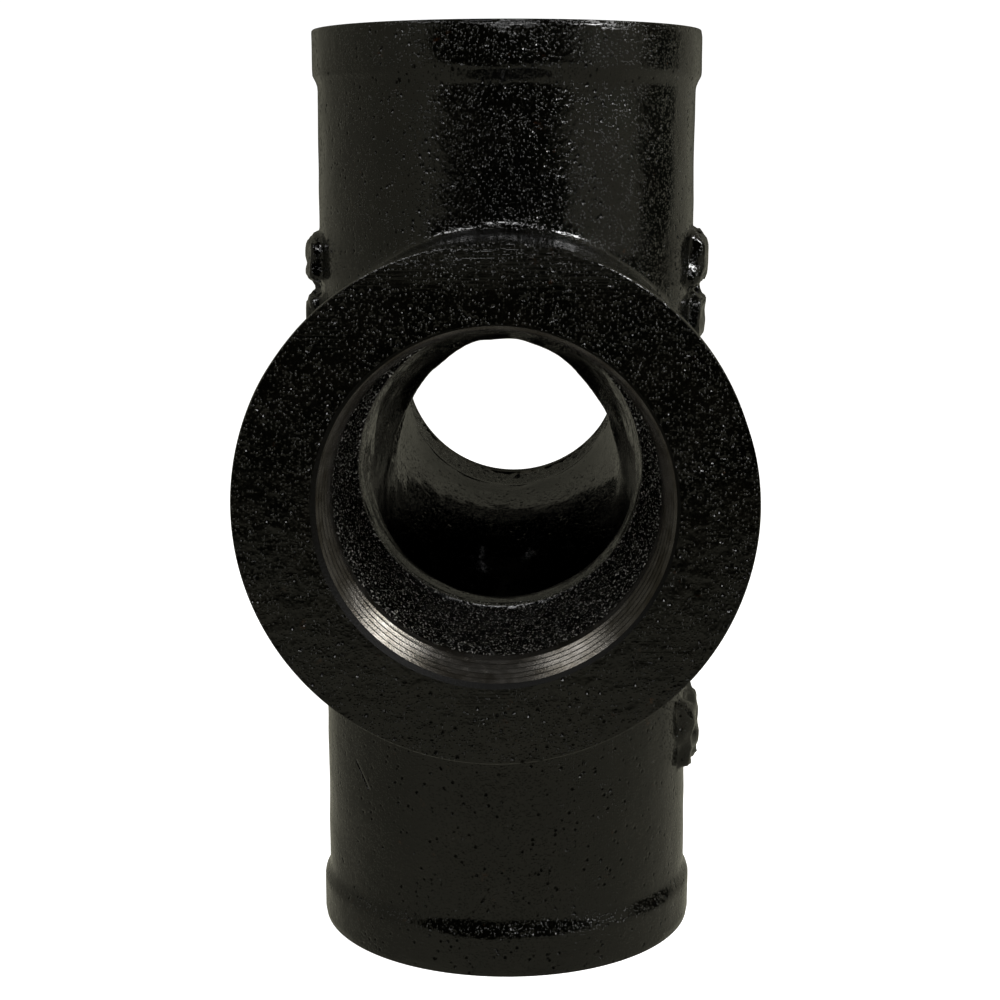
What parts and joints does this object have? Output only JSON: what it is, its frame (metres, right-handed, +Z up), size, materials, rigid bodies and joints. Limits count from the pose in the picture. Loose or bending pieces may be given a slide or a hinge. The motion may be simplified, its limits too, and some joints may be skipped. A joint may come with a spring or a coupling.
{
  "type": "drainage cross pipe fitting",
  "caption": "Black cast-iron cross fitting: a vertical run with opposite inlets that sweep down into it, every end banded and internally threaded for pipe.",
  "frame": {"origin": "on the axis of the vertical run, at half its height; the inlets' axis is 15 mm above it", "axes": "+Z up along the run, towards the port nearer the inlets; the inlets lie along Y and -Y is the one at the front; X is across the fitting"},
  "size_m": [0.0882, 0.22, 0.197],
  "materials": {
    "black_casting": "glossy black coating over rough sand-cast grain",
    "threaded_ends": "glossy black coating outside, bright cut thread under a thin dark film inside"
  },
  "bodies": {
    "root": {"hub": "black_casting", "top_threaded_end": "threaded_ends", "bottom_neck": "black_casting", "bottom_threaded_end": "threaded_ends", "front_neck": "black_casting", "front_threaded_end": "threaded_ends", "back_neck": "black_casting", "back_threaded_end": "threaded_ends"}
  },
  "joints": []
}
